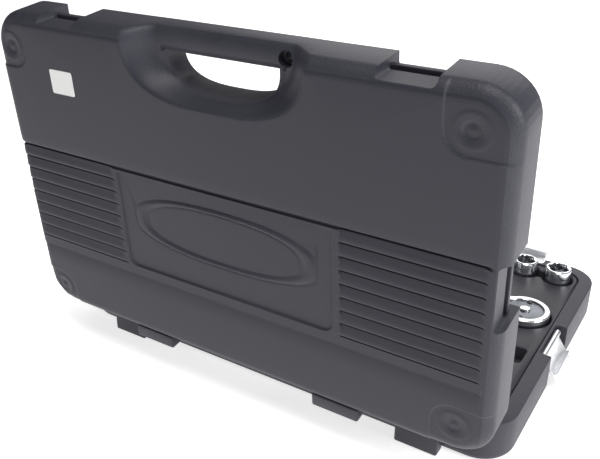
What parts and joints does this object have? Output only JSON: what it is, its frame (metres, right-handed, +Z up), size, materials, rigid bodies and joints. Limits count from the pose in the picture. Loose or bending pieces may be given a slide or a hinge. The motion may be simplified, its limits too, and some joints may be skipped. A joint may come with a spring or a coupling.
{
  "type": "socket wrench set in case",
  "caption": "Open hinged carrying case with latches, grip and moulded tray, holding a ratchet, sliding bar, extension bars, an adapter and hexagon sockets.",
  "frame": {"origin": "centre of the base's flat underside", "axes": "+Z up out of the open base, +X along the hinge with the ratchet head at +X, +Y from the hinge towards the grip and front latches"},
  "size_m": [0.5816, 0.4875, 0.4198],
  "materials": {
    "case": "fine grained slate grey moulding",
    "tray": "fine grained slate grey moulding",
    "label": "plain white vinyl",
    "latch_steel": "bright plated sheet",
    "chrome": "polished",
    "satin_steel": "satin",
    "dark_steel": "black oxide"
  },
  "bodies": {
    "base": {"base_shell": "case", "tool_tray": "tray", "hinge_pin_left": "satin_steel", "hinge_pin_right": "satin_steel", "latch_pin_front_left": "satin_steel", "latch_pin_front_right": "satin_steel", "latch_pin_side_left": "satin_steel", "latch_pin_side_right": "satin_steel"},
    "lid": {"lid_shell": "case", "lid_liner": "tray", "label_plate": "label"},
    "latch_front_left": {"latch_front_left": "latch_steel"},
    "latch_front_right": {"latch_front_right": "latch_steel"},
    "latch_side_left": {"latch_side_left": "latch_steel"},
    "latch_side_right": {"latch_side_right": "latch_steel"},
    "ratchet": {"ratchet_body": "chrome", "ratchet_cover": "satin_steel", "pawl_spring": "satin_steel", "cover_screw_front": "dark_steel", "cover_screw_rear": "dark_steel"},
    "drive_gear": {"ratchet_gear": "chrome"},
    "release_button": {"release_button": "chrome"},
    "detent_ball": {"detent_ball": "satin_steel"},
    "direction_lever": {"direction_lever": "chrome", "ratchet_pawl": "dark_steel"},
    "sliding_bar": {"sliding_bar": "chrome"},
    "sliding_head": {"sliding_head": "chrome"},
    "extension_long": {"extension_long": "chrome"},
    "extension_short": {"extension_short": "chrome"},
    "drive_adapter": {"drive_adapter": "chrome"},
    "socket_22mm": {"socket_22mm": "chrome"},
    "socket_21mm": {"socket_21mm": "chrome"},
    "socket_24mm": {"socket_24mm": "chrome"},
    "socket_23mm": {"socket_23mm": "chrome"},
    "socket_19mm": {"socket_19mm": "chrome"},
    "socket_17mm": {"socket_17mm": "chrome"},
    "socket_26mm": {"socket_26mm": "chrome"},
    "socket_30mm": {"socket_30mm": "chrome"},
    "socket_29mm": {"socket_29mm": "chrome"},
    "socket_28mm": {"socket_28mm": "chrome"},
    "socket_27mm": {"socket_27mm": "chrome"},
    "socket_31mm": {"socket_31mm": "chrome"},
    "socket_32mm": {"socket_32mm": "chrome"},
    "socket_33mm": {"socket_33mm": "chrome"},
    "socket_35mm": {"socket_35mm": "chrome"},
    "socket_36mm": {"socket_36mm": "chrome"},
    "socket_38mm": {"socket_38mm": "chrome"},
    "socket_41mm": {"socket_41mm": "chrome"},
    "socket_46mm": {"socket_46mm": "chrome"},
    "socket_50mm": {"socket_50mm": "chrome"},
    "socket_55mm": {"socket_55mm": "chrome"}
  },
  "joints": [
    {"name": "lid_hinge", "type": "hinge", "parent": "base", "child": "lid", "pos_m": [0, -0.19, 0.04825], "axis": [1, 0, 0], "range_deg": [-95, 0]},
    {"name": "latch_front_left_hinge", "type": "hinge", "parent": "base", "child": "latch_front_left", "pos_m": [-0.187, 0.174, 0.042], "axis": [-1, 0, 0], "range_deg": [-70, 80]},
    {"name": "latch_front_right_hinge", "type": "hinge", "parent": "base", "child": "latch_front_right", "pos_m": [0.187, 0.174, 0.042], "axis": [-1, 0, 0], "range_deg": [-70, 80]},
    {"name": "latch_side_left_hinge", "type": "hinge", "parent": "base", "child": "latch_side_left", "pos_m": [-0.271, 0.001, 0.042], "axis": [0, -1, 0], "range_deg": [-140, 10]},
    {"name": "latch_side_right_hinge", "type": "hinge", "parent": "base", "child": "latch_side_right", "pos_m": [0.271, 0.001, 0.042], "axis": [0, 1, 0], "range_deg": [-140, 10]},
    {"name": "ratchet_lift", "type": "slide", "parent": "base", "child": "ratchet", "axis": [0, 0, 1], "range_m": [0, 0.08]},
    {"name": "gear_turn", "type": "hinge", "parent": "ratchet", "child": "drive_gear", "pos_m": [0.228, 0.04, 0.038], "axis": [0, 0, 1], "continuous": true},
    {"name": "button_press", "type": "slide", "parent": "drive_gear", "child": "release_button", "axis": [0, 0, -1], "range_m": [0, 0.0025], "stiffness_N_per_m": 300, "springref_m": -0.003},
    {"name": "detent_ball_travel", "type": "slide", "parent": "drive_gear", "child": "detent_ball", "axis": [-1, 0, 0], "range_m": [0, 0.001]},
    {"name": "lever_turn", "type": "hinge", "parent": "ratchet", "child": "direction_lever", "pos_m": [0.204, 0.04, 0.042], "axis": [0, 0, 1], "range_deg": [-12, 12]},
    {"name": "sliding_bar_lift", "type": "slide", "parent": "base", "child": "sliding_bar", "axis": [0, 0, 1], "range_m": [0, 0.08]},
    {"name": "sliding_head_slide", "type": "slide", "parent": "sliding_bar", "child": "sliding_head", "axis": [1, 0, 0], "range_m": [-0.34, 0.04]},
    {"name": "extension_long_lift", "type": "slide", "parent": "base", "child": "extension_long", "axis": [0, 0, 1], "range_m": [0, 0.07]},
    {"name": "extension_short_lift", "type": "slide", "parent": "base", "child": "extension_short", "axis": [0, 0, 1], "range_m": [0, 0.07]},
    {"name": "drive_adapter_lift", "type": "slide", "parent": "base", "child": "drive_adapter", "axis": [0, 0, 1], "range_m": [0, 0.07]},
    {"name": "socket_22mm_lift", "type": "slide", "parent": "base", "child": "socket_22mm", "axis": [0, 0, 1], "range_m": [0, 0.07]},
    {"name": "socket_21mm_lift", "type": "slide", "parent": "base", "child": "socket_21mm", "axis": [0, 0, 1], "range_m": [0, 0.07]},
    {"name": "socket_24mm_lift", "type": "slide", "parent": "base", "child": "socket_24mm", "axis": [0, 0, 1], "range_m": [0, 0.07]},
    {"name": "socket_23mm_lift", "type": "slide", "parent": "base", "child": "socket_23mm", "axis": [0, 0, 1], "range_m": [0, 0.07]},
    {"name": "socket_19mm_lift", "type": "slide", "parent": "base", "child": "socket_19mm", "axis": [0, 0, 1], "range_m": [0, 0.07]},
    {"name": "socket_17mm_lift", "type": "slide", "parent": "base", "child": "socket_17mm", "axis": [0, 0, 1], "range_m": [0, 0.07]},
    {"name": "socket_26mm_lift", "type": "slide", "parent": "base", "child": "socket_26mm", "axis": [0, 0, 1], "range_m": [0, 0.07]},
    {"name": "socket_30mm_lift", "type": "slide", "parent": "base", "child": "socket_30mm", "axis": [0, 0, 1], "range_m": [0, 0.07]},
    {"name": "socket_29mm_lift", "type": "slide", "parent": "base", "child": "socket_29mm", "axis": [0, 0, 1], "range_m": [0, 0.07]},
    {"name": "socket_28mm_lift", "type": "slide", "parent": "base", "child": "socket_28mm", "axis": [0, 0, 1], "range_m": [0, 0.07]},
    {"name": "socket_27mm_lift", "type": "slide", "parent": "base", "child": "socket_27mm", "axis": [0, 0, 1], "range_m": [0, 0.07]},
    {"name": "socket_31mm_lift", "type": "slide", "parent": "base", "child": "socket_31mm", "axis": [0, 0, 1], "range_m": [0, 0.07]},
    {"name": "socket_32mm_lift", "type": "slide", "parent": "base", "child": "socket_32mm", "axis": [0, 0, 1], "range_m": [0, 0.07]},
    {"name": "socket_33mm_lift", "type": "slide", "parent": "base", "child": "socket_33mm", "axis": [0, 0, 1], "range_m": [0, 0.07]},
    {"name": "socket_35mm_lift", "type": "slide", "parent": "base", "child": "socket_35mm", "axis": [0, 0, 1], "range_m": [0, 0.07]},
    {"name": "socket_36mm_lift", "type": "slide", "parent": "base", "child": "socket_36mm", "axis": [0, 0, 1], "range_m": [0, 0.07]},
    {"name": "socket_38mm_lift", "type": "slide", "parent": "base", "child": "socket_38mm", "axis": [0, 0, 1], "range_m": [0, 0.07]},
    {"name": "socket_41mm_lift", "type": "slide", "parent": "base", "child": "socket_41mm", "axis": [0, 0, 1], "range_m": [0, 0.07]},
    {"name": "socket_46mm_lift", "type": "slide", "parent": "base", "child": "socket_46mm", "axis": [0, 0, 1], "range_m": [0, 0.07]},
    {"name": "socket_50mm_lift", "type": "slide", "parent": "base", "child": "socket_50mm", "axis": [0, 0, 1], "range_m": [0, 0.07]},
    {"name": "socket_55mm_lift", "type": "slide", "parent": "base", "child": "socket_55mm", "axis": [0, 0, 1], "range_m": [0, 0.07]}
  ],
  "couplings": [
    {"joint": "detent_ball_travel", "follows": "button_press", "ratio": 0.4}
  ]
}
